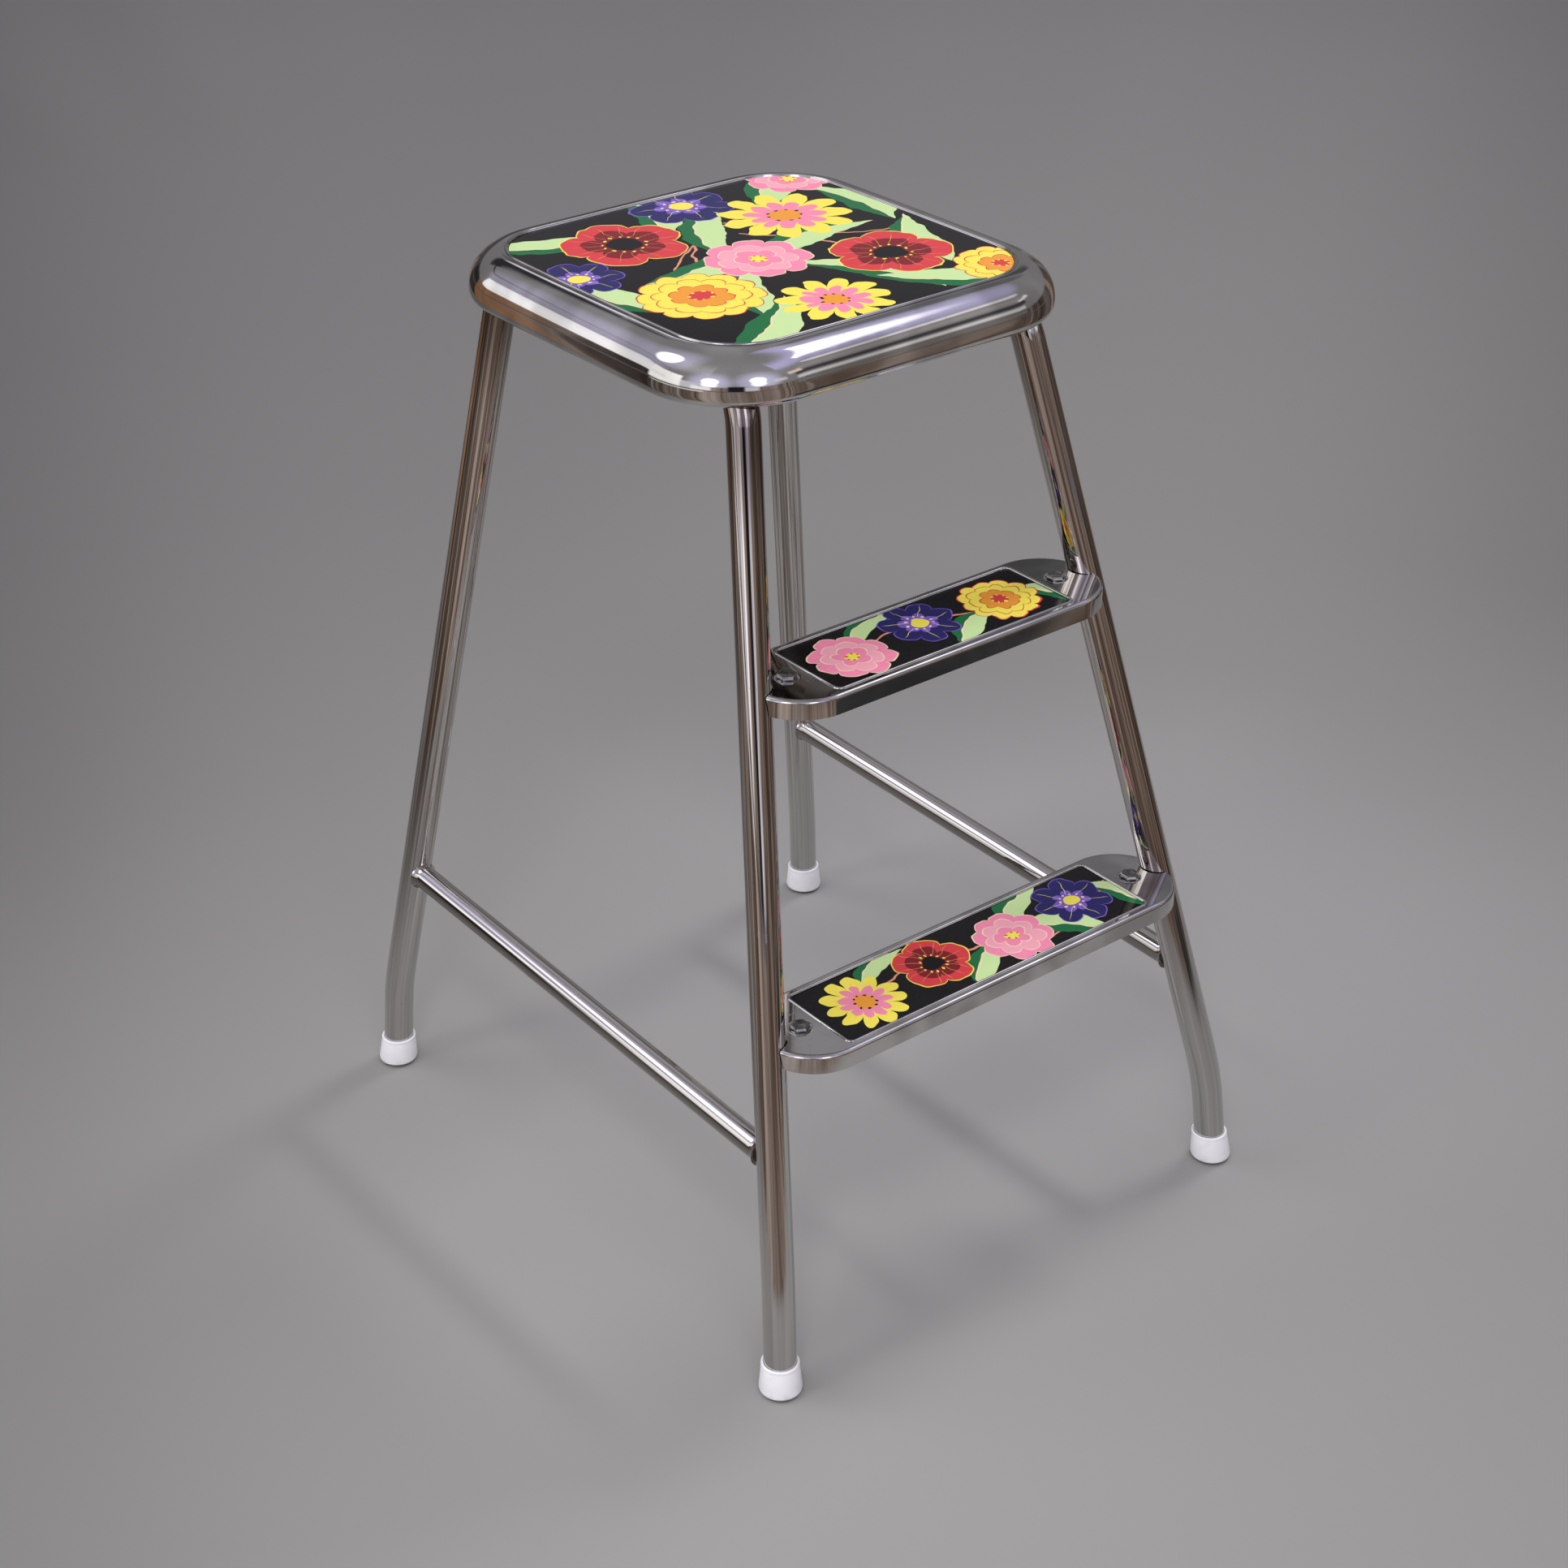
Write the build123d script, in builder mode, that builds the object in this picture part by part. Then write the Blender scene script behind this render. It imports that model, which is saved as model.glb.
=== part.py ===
"""Kitchen step stool of chromed tube, with a pressed seat and two bolted treads.

The front of the stool faces -Y, +X is to the right seen from the front, +Z is up.
The origin lies on the floor, midway between the four feet.
"""

import os

from build123d import *

os.makedirs("parts", exist_ok=True)

# Stance of the legs
seat_height = 600.0  # floor to the face of the seat panel
foot_half_width = 183.3  # middle of the stool to a foot, across
foot_half_depth = 218.0  # middle of the stool to a foot, front to back
side_run_inset = 41.15  # side of the seat to the middle of the tube under it
front_run_inset = 29.65  # front of the seat to the corner of the tube under it
rear_run_inset = 26.45  # back of the seat to the corner of the tube under it
knee_height = 64.0  # height of the bend above each foot
foot_lean_share = 0.41  # share of the lean that is left below the knee
knee_radius = 250.0
top_bend_radius = 40.0

# Tubes
tube_diameter = 20.0
tube_wall = 1.5
stretcher_diameter = 16.0
stretcher_wall = 1.2
stretcher_front_height = 148.0
stretcher_rear_height = 156.0

# Rubber feet
foot_height = 20.5
foot_top_diameter = 23.0
foot_base_diameter = 26.6
foot_base_round = 3.5
foot_lip_round = 0.6
foot_floor = 5.0  # rubber under the end of the tube

# Seat shell
seat_width = 284.0
seat_depth = 286.0
seat_centre_y = 30.0
seat_bow = 2.0  # how far each side of the outline swells
seat_corner = 64.0
rim_width = 24.4  # outer edge to the sunk deck
rim_round = 22.0
rim_height = 29.6
hem_round = 7.0
hem_turn = 6.0  # how far the sheet is turned under at the lower edge
seat_sheet = 1.0
seat_rim_rise = 0.6  # crown of the rim above the panel

# Printed panels and the beads round them
panel_thickness = 1.5
panel_gap = 0.2
bead_radius = 0.8
bead_outset = 1.2  # middle of the bead to the edge of the sunk deck

# Treads
tread_heights = {"upper": 416.1, "lower": 216.5}  # floor to the face of the panel
tread_depth = 71.0
tread_overhang = 2.2  # tread end past the middle of the leg
tread_skirt = 12.0
tread_edge_round = 2.4
tread_sheet = 1.2
tread_rim_rise = 0.5
tread_deck_depth = 57.4
tread_deck_inset = 4.2  # end of the sunk deck short of the middle of the round end
tread_deck_corner = 3.0
leg_gap = 0.7  # play between a leg and the notch in the tread

# Tread lugs and bolts
bolt_from_leg = 23.2  # bolt to the middle of the leg
bolt_diameter = 6.0
bolt_hole_play = 0.6
bolt_head_flats = 10.0
bolt_head_height = 4.0
bolt_tail = 1.0  # thread past the nut
nut_height = 5.0
dimple_diameter = 14.0  # shallow cup pressed into the tread round each bolt
dimple_floor_diameter = 12.0
dimple_depth = 1.2
lug_width = 16.0
lug_thickness = 3.0

# Seat clips and studs
clip_half_spacing = 60.0
clip_length = 20.0
clip_strap = 1.5
stud_from_tube = 15.6
stud_diameter = 4.0
stud_length = 8.0
stud_hole_play = 0.5
clip_end_margin = 4.5
clip_nut_flats = 7.0
clip_nut_height = 3.2

# Play between fitted faces
fit_play = 0.1

tube_radius = tube_diameter / 2
seat_deck_top = seat_height - panel_thickness
seat_deck_under = seat_deck_top - seat_sheet
top_run_height = seat_deck_under - tube_radius - fit_play
sides = {"left": -1, "right": 1}
ends = {"front": -1, "rear": 1}

# Lean of the legs, as travel per mm of height, from the feet and the tube under the seat
lean_rise = top_run_height - knee_height + foot_lean_share * knee_height
run_half_spacing = seat_width / 2 - side_run_inset
run_front = seat_depth / 2 - seat_centre_y - front_run_inset
run_rear = seat_depth / 2 + seat_centre_y - rear_run_inset
side_lean = (foot_half_width - run_half_spacing) / lean_rise
leans = {
    "front": (foot_half_depth - run_front) / lean_rise,
    "rear": (foot_half_depth - run_rear) / lean_rise,
}


def leg_point(side, end, height):
    """Middle of a leg at a height, with the knee drawn as a sharp corner."""
    below = min(height, knee_height) * foot_lean_share
    above = max(height - knee_height, 0)
    inward = side_lean * (below + above)
    along = leans[end] * (below + above)
    return Vector(
        sides[side] * (foot_half_width - inward),
        ends[end] * (foot_half_depth - along),
        height,
    )


def leg_plane(side, end):
    """Plane square to the leg above the knee, at the knee."""
    knee = leg_point(side, end, knee_height)
    return Plane(origin=knee, z_dir=leg_point(side, end, top_run_height) - knee)


def leg_rod(side, end, radius):
    """Solid rod along the straight stretch of a leg, used to trim what meets it."""
    length = (leg_point(side, end, top_run_height) - leg_point(side, end, knee_height)).length
    with BuildPart() as rod:
        with BuildSketch(leg_plane(side, end)):
            Circle(radius)
        extrude(amount=length)
    return rod.part


def foot_plane(side, end):
    """Plane at the end of the tube, square to the leg below the knee."""
    floor_point = leg_point(side, end, 0)
    direction = (leg_point(side, end, knee_height) - floor_point).normalized()
    return Plane(origin=floor_point + direction * foot_floor, z_dir=direction)


def swollen_rectangle(width, depth, corner):
    """Outline of the seat or its deck: slightly swollen sides and round corners."""
    half_x = width / 2 - seat_bow
    half_y = depth / 2 - seat_bow
    with BuildSketch() as outline:
        with BuildLine():
            SagittaArc((-half_x, -half_y), (half_x, -half_y), -seat_bow)
            SagittaArc((half_x, -half_y), (half_x, half_y), -seat_bow)
            SagittaArc((half_x, half_y), (-half_x, half_y), -seat_bow)
            SagittaArc((-half_x, half_y), (-half_x, -half_y), -seat_bow)
        make_face()
        fillet(outline.vertices(), radius=corner)
    return outline.sketch


def write(piece, label):
    """Name a finished piece and save it as its own file."""
    piece.part.label = label
    export_step(piece.part, f"parts/{label}.step")


# Side frames: one tube bent into front leg, top run and rear leg
for side in sides:
    front_foot = foot_plane(side, "front")
    rear_foot = foot_plane(side, "rear")
    with BuildPart() as side_frame:
        with BuildLine() as route:
            FilletPolyline(
                front_foot.origin,
                leg_point(side, "front", knee_height),
                leg_point(side, "front", top_run_height),
                leg_point(side, "rear", top_run_height),
                leg_point(side, "rear", knee_height),
                rear_foot.origin,
                radius=[knee_radius, top_bend_radius, top_bend_radius, knee_radius],
            )
        with BuildSketch(front_foot):
            Circle(tube_radius)
            Circle(tube_radius - tube_wall, mode=Mode.SUBTRACT)
        sweep(path=route.wire())
    write(side_frame, f"{side}_side_frame")

# Stretchers: thinner tubes, coped to fit round the legs they are welded to
for side in sides:
    rear_joint = leg_point(side, "rear", stretcher_rear_height)
    front_joint = leg_point(side, "front", stretcher_front_height)
    span = front_joint - rear_joint
    legs = [leg_rod(side, end, tube_radius) for end in ends]
    with BuildPart() as stretcher:
        with BuildSketch(Plane(origin=rear_joint, z_dir=span)):
            Circle(stretcher_diameter / 2)
            Circle(stretcher_diameter / 2 - stretcher_wall, mode=Mode.SUBTRACT)
        extrude(amount=span.length)
        add(legs, mode=Mode.SUBTRACT)
    write(stretcher, f"{side}_stretcher")

# Rubber feet: tapered cups pushed over the tube ends, flat where they stand
for side in sides:
    for end in ends:
        base = foot_plane(side, end)
        tilted = Plane(origin=base.origin, x_dir=base.x_dir, z_dir=-base.y_dir)
        bore_radius = tube_radius + fit_play
        with BuildPart() as foot:
            with BuildSketch(tilted):
                with BuildLine():
                    Polyline(
                        (0, -2 * foot_floor),
                        (foot_base_diameter / 2, -2 * foot_floor),
                        (foot_base_diameter / 2, -foot_floor + foot_base_round),
                        (foot_top_diameter / 2, foot_height - foot_floor),
                        (bore_radius, foot_height - foot_floor),
                        (bore_radius, 0),
                        (0, 0),
                        close=True,
                    )
                make_face()
            revolve(axis=Axis(base.origin, base.z_dir))
            split(bisect_by=Plane.XY, keep=Keep.TOP)
            fillet(foot.faces().sort_by(Axis.Z)[0].edges(), radius=foot_base_round)
            lip = foot.faces().filter_by(GeomType.PLANE).sort_by(Axis.Z)[-1]
            fillet(lip.outer_wire().edges(), radius=foot_lip_round)
        write(foot, f"{end}_{side}_foot")

# Seat shell: one pressed sheet with a bullnose rim, a hem and a sunk deck
rim_top = seat_height + seat_rim_rise
rim_bottom = rim_top - rim_height
deck_width = seat_width - 2 * rim_width
deck_depth = seat_depth - 2 * rim_width
deck_corner = seat_corner - rim_width
seat_plane = Plane((0, seat_centre_y, 0))


def deck_outline(outset):
    """Outline of the sunk seat deck, grown by an outset."""
    return swollen_rectangle(deck_width + 2 * outset, deck_depth + 2 * outset, deck_corner + outset)


def rim_outline(inset):
    """Outline of the whole seat, shrunk by an inset."""
    return swollen_rectangle(seat_width - 2 * inset, seat_depth - 2 * inset, seat_corner - inset)


def rim_block(inset):
    """Solid block with the bullnose and the hem round, shrunk by an inset all over."""
    outline = rim_outline(inset)
    with BuildPart() as block:
        with BuildSketch(seat_plane.offset(rim_bottom + inset)):
            add(outline)
        extrude(amount=rim_height - 2 * inset)
        fillet(block.faces().sort_by(Axis.Z)[-1].edges(), radius=rim_round - inset)
        fillet(block.faces().sort_by(Axis.Z)[0].edges(), radius=hem_round - inset)
    return block.part


outer_block = rim_block(0)
hollow = rim_block(seat_sheet)
hem_mouth = rim_outline(hem_turn)
deck_pocket = deck_outline(0)
deck_pan = deck_outline(seat_sheet)
bead_path = seat_plane.offset(rim_top) * deck_outline(bead_outset).wire()
with BuildPart() as seat_shell:
    add(outer_block)
    add(hollow, mode=Mode.SUBTRACT)
    with BuildSketch(seat_plane.offset(rim_bottom)):
        add(hem_mouth)
    extrude(amount=2 * seat_sheet, mode=Mode.SUBTRACT)
    with BuildSketch(seat_plane.offset(seat_deck_under)):
        add(deck_pan)
    extrude(amount=rim_top - seat_deck_under)
    with BuildSketch(seat_plane.offset(seat_deck_top)):
        add(deck_pocket)
    extrude(amount=rim_top - seat_deck_top, mode=Mode.SUBTRACT)
    with BuildSketch(Plane(origin=bead_path @ 0, z_dir=bead_path % 0)):
        Circle(bead_radius)
    sweep(path=bead_path)
write(seat_shell, "seat_shell")

# Seat panel: printed sheet let into the sunk deck
seat_panel_outline = deck_outline(-panel_gap)
with BuildPart() as seat_panel:
    with BuildSketch(seat_plane.offset(seat_deck_top)):
        add(seat_panel_outline)
    extrude(amount=panel_thickness)
write(seat_panel, "seat_panel")


def tread_top(level):
    """Height of the flat round the sunk deck of a tread."""
    return tread_heights[level] + tread_rim_rise


def tread_plane(level):
    """Floor plane under the middle of a tread, in line with the front legs at its height."""
    return Plane((0, leg_point("left", "front", tread_heights[level]).Y, 0))


def tread_half_length(level):
    """Middle of a tread to the tip of its round end."""
    return leg_point("right", "front", tread_heights[level]).X + tread_overhang


def tread_deck(level, outset):
    """Width, depth and corner of the sunk deck of a tread, grown by an outset."""
    half_width = tread_half_length(level) - tread_depth / 2 - tread_deck_inset
    return 2 * (half_width + outset), tread_deck_depth + 2 * outset, tread_deck_corner + outset


def bolt_point(level, side):
    """Point on the floor of a dimple in a tread, where a bolt passes through it."""
    leg = leg_point(side, "front", tread_heights[level])
    return Vector(leg.X - sides[side] * bolt_from_leg, leg.Y, tread_top(level) - dimple_depth)


# Treads: pressed trays with a skirt, a sunk deck, a notch round each front leg and two dimples
for level in tread_heights:
    top = tread_top(level)
    deck_top = tread_heights[level] - panel_thickness
    ground = tread_plane(level)
    with BuildSketch() as bead_outline:
        RectangleRounded(*tread_deck(level, bead_outset))
    bead_path = ground.offset(top) * bead_outline.wire()
    with BuildPart() as tread_tray:
        with BuildSketch(ground.offset(top - tread_skirt)):
            SlotOverall(2 * tread_half_length(level), tread_depth)
        extrude(amount=tread_skirt)
        fillet(tread_tray.faces().sort_by(Axis.Z)[-1].edges(), radius=tread_edge_round)
        offset(amount=-tread_sheet, openings=tread_tray.faces().sort_by(Axis.Z)[0])
        with BuildSketch(ground.offset(deck_top - tread_sheet)):
            RectangleRounded(*tread_deck(level, tread_sheet))
        extrude(amount=top - deck_top + tread_sheet)
        with BuildSketch(ground.offset(deck_top)):
            RectangleRounded(*tread_deck(level, 0))
        extrude(amount=top - deck_top, mode=Mode.SUBTRACT)
        with BuildSketch(Plane(origin=bead_path @ 0, z_dir=bead_path % 0)):
            Circle(bead_radius)
        sweep(path=bead_path)
        for side in sides:
            leg = leg_point(side, "front", tread_heights[level])
            rise = leg_point(side, "front", top_run_height) - leg
            with BuildSketch(Plane(origin=leg, x_dir=(sides[side], 0, 0), z_dir=rise)):
                Circle(tube_radius + leg_gap)
                Rectangle(
                    tube_diameter,
                    tube_diameter + 2 * leg_gap,
                    align=(Align.MIN, Align.CENTER),
                )
            extrude(amount=2 * tread_skirt, both=True, mode=Mode.SUBTRACT)
            floor = Plane(bolt_point(level, side))
            with BuildSketch(floor.offset(-tread_sheet)):
                Circle(dimple_diameter / 2)
            extrude(amount=dimple_depth)
            with BuildSketch(floor):
                Circle(dimple_floor_diameter / 2)
            with BuildSketch(floor.offset(dimple_depth)):
                Circle(dimple_diameter / 2)
            loft(mode=Mode.SUBTRACT)
            with BuildSketch(floor):
                Circle((bolt_diameter + bolt_hole_play) / 2)
            extrude(amount=-tread_sheet, mode=Mode.SUBTRACT)
    write(tread_tray, f"{level}_tread_tray")

# Tread panels: printed strips let into the sunk decks
for level in tread_heights:
    with BuildPart() as tread_panel:
        with BuildSketch(tread_plane(level).offset(tread_heights[level] - panel_thickness)):
            RectangleRounded(*tread_deck(level, -panel_gap))
        extrude(amount=panel_thickness)
    write(tread_panel, f"{level}_tread_panel")

# Tread lugs: flat tabs welded to the front legs, under the ends of the treads
for level in tread_heights:
    for side in sides:
        bolt = bolt_point(level, side)
        leg = leg_rod(side, "front", tube_radius)
        with BuildPart() as tread_lug:
            with BuildSketch(Plane(bolt).offset(-tread_sheet)):
                Circle(lug_width / 2)
                with Locations((sides[side] * bolt_from_leg / 2, 0)):
                    Rectangle(bolt_from_leg, lug_width)
                Circle((bolt_diameter + bolt_hole_play) / 2, mode=Mode.SUBTRACT)
            extrude(amount=-lug_thickness)
            add(leg, mode=Mode.SUBTRACT)
        write(tread_lug, f"{level}_{side}_tread_lug")

# Tread bolts, with their heads in the dimples, and their nuts
bolt_points = [bolt_point(level, side) for level in tread_heights for side in sides]
grip = tread_sheet + lug_thickness
with BuildPart() as tread_bolts:
    for point in bolt_points:
        with BuildSketch(Plane(point)):
            RegularPolygon(bolt_head_flats / 2, 6, major_radius=False)
        extrude(amount=bolt_head_height)
        with BuildSketch(Plane(point)):
            Circle(bolt_diameter / 2)
        extrude(amount=-(grip + nut_height + bolt_tail))
write(tread_bolts, "tread_bolts")

with BuildPart() as tread_nuts:
    for point in bolt_points:
        with BuildSketch(Plane(point).offset(-grip)):
            RegularPolygon(bolt_head_flats / 2, 6, major_radius=False)
            Circle(bolt_diameter / 2 + fit_play, mode=Mode.SUBTRACT)
        extrude(amount=-nut_height)
write(tread_nuts, "tread_nuts")

# Seat clips: straps that hold the top runs up against the seat deck
clip_height = seat_deck_under - top_run_height
strap_inside = tube_radius + fit_play
strap_outside = strap_inside + clip_strap
stud_points = []
for side in sides:
    for end in ends:
        run_x = leg_point(side, end, top_run_height).X
        clip_y = seat_centre_y + ends[end] * clip_half_spacing
        run_middle = Plane((run_x, clip_y, top_run_height), x_dir=(1, 0, 0), z_dir=(0, -1, 0))
        reaches = (-stud_from_tube, stud_from_tube)
        studs = [Vector(run_x + reach, clip_y, seat_deck_under) for reach in reaches]
        stud_points += studs
        with BuildPart() as seat_clip:
            with BuildSketch(run_middle):
                Circle(strap_outside)
                Rectangle(2 * strap_outside, clip_height, align=(Align.CENTER, Align.MIN))
                with Locations((0, clip_height)):
                    Rectangle(
                        2 * (stud_from_tube + clip_end_margin),
                        clip_strap,
                        align=(Align.CENTER, Align.MAX),
                    )
                    Rectangle(
                        2 * strap_outside,
                        strap_outside,
                        align=(Align.CENTER, Align.MIN),
                        mode=Mode.SUBTRACT,
                    )
                Circle(strap_inside, mode=Mode.SUBTRACT)
                Rectangle(
                    2 * strap_inside,
                    clip_height,
                    align=(Align.CENTER, Align.MIN),
                    mode=Mode.SUBTRACT,
                )
            extrude(amount=clip_length / 2, both=True)
            for stud in studs:
                with BuildSketch(Plane(stud)):
                    Circle((stud_diameter + stud_hole_play) / 2)
                extrude(amount=-2 * clip_strap, mode=Mode.SUBTRACT)
        write(seat_clip, f"{end}_{side}_seat_clip")

# Seat studs, welded under the deck, and the nuts that draw the clips up
with BuildPart() as seat_studs:
    for stud in stud_points:
        with BuildSketch(Plane(stud)):
            Circle(stud_diameter / 2)
        extrude(amount=-stud_length)
write(seat_studs, "seat_studs")

with BuildPart() as seat_stud_nuts:
    for stud in stud_points:
        with BuildSketch(Plane(stud).offset(-clip_strap)):
            RegularPolygon(clip_nut_flats / 2, 6, major_radius=False, rotation=30)
            Circle(stud_diameter / 2 + fit_play, mode=Mode.SUBTRACT)
        extrude(amount=-clip_nut_height)
write(seat_stud_nuts, "seat_stud_nuts")
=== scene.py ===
import math

import bmesh
import bpy
from mathutils import Matrix, Vector


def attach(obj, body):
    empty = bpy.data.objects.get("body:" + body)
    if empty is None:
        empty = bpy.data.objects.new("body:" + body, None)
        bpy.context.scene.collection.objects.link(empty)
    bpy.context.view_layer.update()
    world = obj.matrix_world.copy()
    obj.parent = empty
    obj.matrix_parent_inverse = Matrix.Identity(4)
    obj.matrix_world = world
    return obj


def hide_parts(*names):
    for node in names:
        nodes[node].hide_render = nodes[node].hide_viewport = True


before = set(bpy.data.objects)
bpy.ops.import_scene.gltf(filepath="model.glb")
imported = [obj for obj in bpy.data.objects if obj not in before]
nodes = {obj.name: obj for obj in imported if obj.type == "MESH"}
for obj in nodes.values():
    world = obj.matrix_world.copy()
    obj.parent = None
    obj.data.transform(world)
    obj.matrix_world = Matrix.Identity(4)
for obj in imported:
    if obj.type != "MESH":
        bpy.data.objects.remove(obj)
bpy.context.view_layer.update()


# Side frames: each is one steel tube, drawn, bent into a front leg, a run under
# the seat and a rear leg, then chromed. The legs kick out a little above the feet.
tube_radius = 0.010
foot_front = Vector((0.1833, -0.2180, 0))
foot_rear = Vector((0.1833, 0.2180, 0))
knee_front = Vector((0.17936, -0.21157, 0.064))
knee_rear = Vector((0.17936, 0.21459, 0.064))
run_front = Vector((0.10085, -0.08335, 0.5874))
run_rear = Vector((0.10085, 0.14655, 0.5874))
tube_end = 0.005
knee_bend = 0.250
top_bend = 0.040


def points(geometry):
    return [part for part in geometry if isinstance(part, bmesh.types.BMVert)]


def lines(geometry):
    return [part for part in geometry if isinstance(part, bmesh.types.BMEdge)]


def draw(shape, edges, way):
    """Draw edges on in a straight line, and give back the new end."""
    drawn = bmesh.ops.extrude_edge_only(shape, edges=edges)["geom"]
    bmesh.ops.translate(shape, verts=points(drawn), vec=way)
    return drawn


def tube_start(at, heading, radius):
    """The open end of a tube. Each point keeps its place round the wall, which the plating reads."""
    tube = bmesh.new()
    wall = tube.verts.layers.float_vector.new("wall")
    turn = heading.to_track_quat("Z", "Y").to_matrix().to_4x4()
    bmesh.ops.create_circle(tube, segments=48, radius=radius)
    for spot in tube.verts:
        spot[wall] = spot.co / radius
    bmesh.ops.transform(tube, matrix=Matrix.Translation(at) @ turn, verts=tube.verts[:])
    return tube


def tube_mesh(corners, bends, radius):
    """Tube drawn along straight runs and bends, the way a bender makes it."""
    here = corners[0]
    tube = tube_start(here, (corners[1] - here).normalized(), radius)
    edges = tube.edges[:]
    for step, bend in enumerate([*bends, None], start=1):
        corner = corners[step]
        heading = (corner - corners[step - 1]).normalized()
        stop = corner
        if bend:
            leaving = (corners[step + 1] - corner).normalized()
            angle = heading.angle(leaving)
            stop = corner - heading * bend * math.tan(angle / 2)
        drawn = draw(tube, edges, stop - here)
        edges = lines(drawn)
        here = stop
        if bend:
            axis = heading.cross(leaving).normalized()
            middle = here + axis.cross(heading) * bend
            steps = max(4, math.ceil(angle / math.radians(2.5)))
            bent = bmesh.ops.spin(
                tube, geom=points(drawn) + edges, cent=middle, axis=axis, angle=angle, steps=steps
            )["geom_last"]
            edges = lines(bent)
            here = middle + Matrix.Rotation(angle, 3, axis) @ (here - middle)
    bmesh.ops.holes_fill(tube, edges=tube.edges[:])
    bmesh.ops.recalc_face_normals(tube, faces=tube.faces[:])
    return tube


def piece(name, shape, material, *cad_nodes, sharp=math.radians(35)):
    """Turn a finished shape into a piece that rides on the stool and stands for its nodes."""
    mesh = bpy.data.meshes.new(name)
    shape.to_mesh(mesh)
    shape.free()
    mesh.shade_smooth()
    mesh.set_sharp_from_angle(angle=sharp)
    mesh.materials.append(material)
    made = bpy.data.objects.new(name, mesh)
    bpy.context.scene.collection.objects.link(made)
    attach(made, "root")
    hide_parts(*cad_nodes)
    return made


class Wire:
    """A socket of a material, so that sums on it are written as plain Python."""

    def __init__(self, tree, socket=None):
        self.tree = tree
        self.socket = socket

    def node(self, kind, settings=None, inputs=None, output=0):
        """Add any node: its settings first, then its inputs, and give back an output."""
        made = self.tree.nodes.new(kind)
        for name, value in (settings or {}).items():
            if name == "stops":
                while len(made.color_ramp.elements) < len(value):
                    made.color_ramp.elements.new(1.0)
                for stop, (place, colour) in zip(made.color_ramp.elements, value):
                    stop.position = place
                    stop.color = colour
            else:
                setattr(made, name, value)
        for name, value in (inputs or {}).items():
            if isinstance(value, Wire):
                self.tree.links.new(value.socket, made.inputs[name])
            else:
                made.inputs[name].default_value = value
        return Wire(self.tree, made.outputs[output])

    def out(self, name):
        """Another output of the same node."""
        return Wire(self.tree, self.socket.node.outputs[name])

    def math(self, operation, *values):
        return self.node("ShaderNodeMath", {"operation": operation}, dict(enumerate(values)))

    def __add__(self, other):
        return self.math("ADD", self, other)

    def __radd__(self, other):
        return self.math("ADD", other, self)

    def __sub__(self, other):
        return self.math("SUBTRACT", self, other)

    def __rsub__(self, other):
        return self.math("SUBTRACT", other, self)

    def __mul__(self, other):
        return self.math("MULTIPLY", self, other)

    def __rmul__(self, other):
        return self.math("MULTIPLY", other, self)

    def __truediv__(self, other):
        return self.math("DIVIDE", self, other)

    def __rtruediv__(self, other):
        return self.math("DIVIDE", other, self)

    def __pow__(self, other):
        return self.math("POWER", self, other)

    def __abs__(self):
        return self.math("ABSOLUTE", self)

    def vector(self, operation, *values, output=0):
        inputs = dict(enumerate(values))
        return self.node("ShaderNodeVectorMath", {"operation": operation}, inputs, output)

    def parts(self):
        """The three numbers of a vector, each by its name."""
        return self.node("ShaderNodeSeparateXYZ", inputs={0: self})

    def spread(self, low, high, to_low=0.0, to_high=1.0):
        """Map a stretch of values onto another, with soft ends."""
        ends = {"Value": self, "From Min": low, "From Max": high, "To Min": to_low, "To Max": to_high}
        return self.node("ShaderNodeMapRange", {"interpolation_type": "SMOOTHSTEP"}, ends)

    def mix(self, first, second):
        """Colour that goes from the first to the second as this value goes from 0 to 1."""
        return self.node("ShaderNodeMix", {"data_type": "RGBA"}, {0: self, 6: first, 7: second}, 2)


def new_finish(name):
    """A material with its shader and a wire to start from, which holds Object coordinates."""
    material = bpy.data.materials.new(name)
    material.use_nodes = True
    tree = material.node_tree
    shader = tree.nodes["Principled BSDF"]
    place = Wire(tree).node("ShaderNodeTexCoord", output="Object")
    return material, shader, place


def feed(shader, **inputs):
    """Link wires to a shader's sockets, named with underscores for spaces."""
    for name, wire in inputs.items():
        wire.tree.links.new(wire.socket, shader.inputs[name.replace("_", " ")])


def bump(height, strength, distance):
    """Fine relief of a surface, from its height."""
    return height.node(
        "ShaderNodeBump", inputs={"Strength": strength, "Distance": distance, "Height": height}
    )


def noise(place, scale, stretch=(1, 1, 1), detail=2.0, rough=0.5):
    """Soft random values over a surface, stretched along an axis where wanted."""
    at = place.node("ShaderNodeMapping", inputs={"Vector": place, "Scale": stretch})
    return place.node(
        "ShaderNodeTexNoise", inputs={"Vector": at, "Scale": scale, "Detail": detail, "Roughness": rough}
    )


sheet_dull = (0.50, 0.490, 0.470, 1)
sheet_bright = (0.71, 0.697, 0.682, 1)
speck_brown = (0.30, 0.29, 0.27, 1)


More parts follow.
